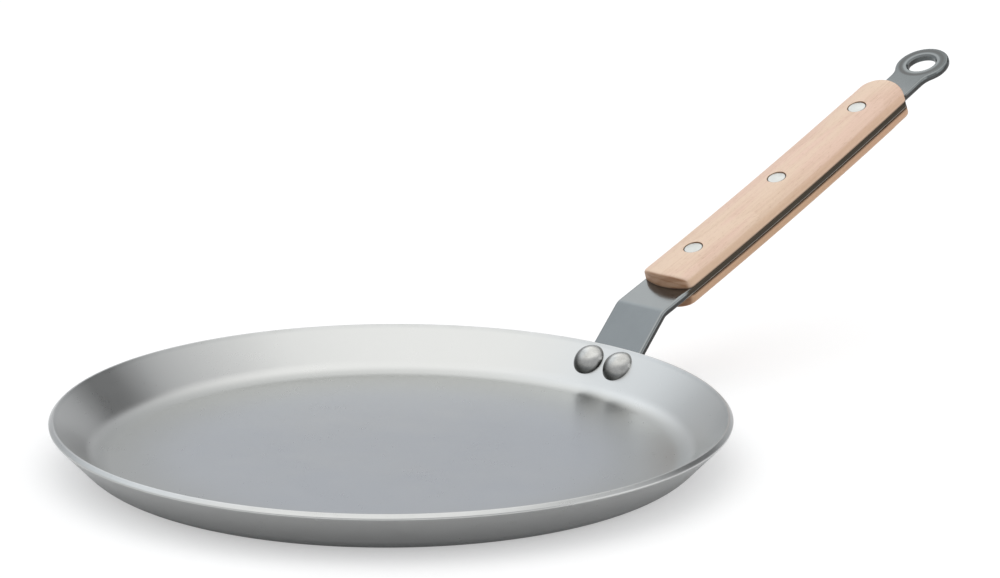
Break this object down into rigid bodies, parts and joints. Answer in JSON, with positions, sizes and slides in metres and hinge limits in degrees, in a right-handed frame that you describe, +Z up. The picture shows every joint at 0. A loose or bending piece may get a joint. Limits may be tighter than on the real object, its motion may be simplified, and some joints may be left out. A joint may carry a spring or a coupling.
{
  "type": "crepe pan",
  "caption": "Flat steel crepe pan with a low sloping wall and a riveted strip handle with wooden grip scales and a round hanging eye.",
  "frame": {"origin": "middle of the base, on the surface that the pan rests on", "axes": "+X from the middle of the pan along the handle to the hanging eye; +Z up, square to the base; +Y to the left of the handle, seen from the pan"},
  "size_m": [0.4314, 0.24, 0.0981],
  "materials": {
    "pan_steel": "satin",
    "bar_steel": "satin",
    "grip_wood": "satin",
    "pan_rivet_steel": "satin",
    "grip_rivet_metal": "satin"
  },
  "bodies": {
    "root": {"pan_body": "pan_steel", "handle_bar": "bar_steel", "upper_scale": "grip_wood", "lower_scale": "grip_wood", "pan_rivet_left": "pan_rivet_steel", "pan_rivet_right": "pan_rivet_steel", "grip_rivet_pin_front": "grip_rivet_metal", "grip_rivet_pin_middle": "grip_rivet_metal", "grip_rivet_pin_rear": "grip_rivet_metal", "grip_rivet_sleeve_front": "grip_rivet_metal", "grip_rivet_sleeve_middle": "grip_rivet_metal", "grip_rivet_sleeve_rear": "grip_rivet_metal"}
  },
  "joints": []
}
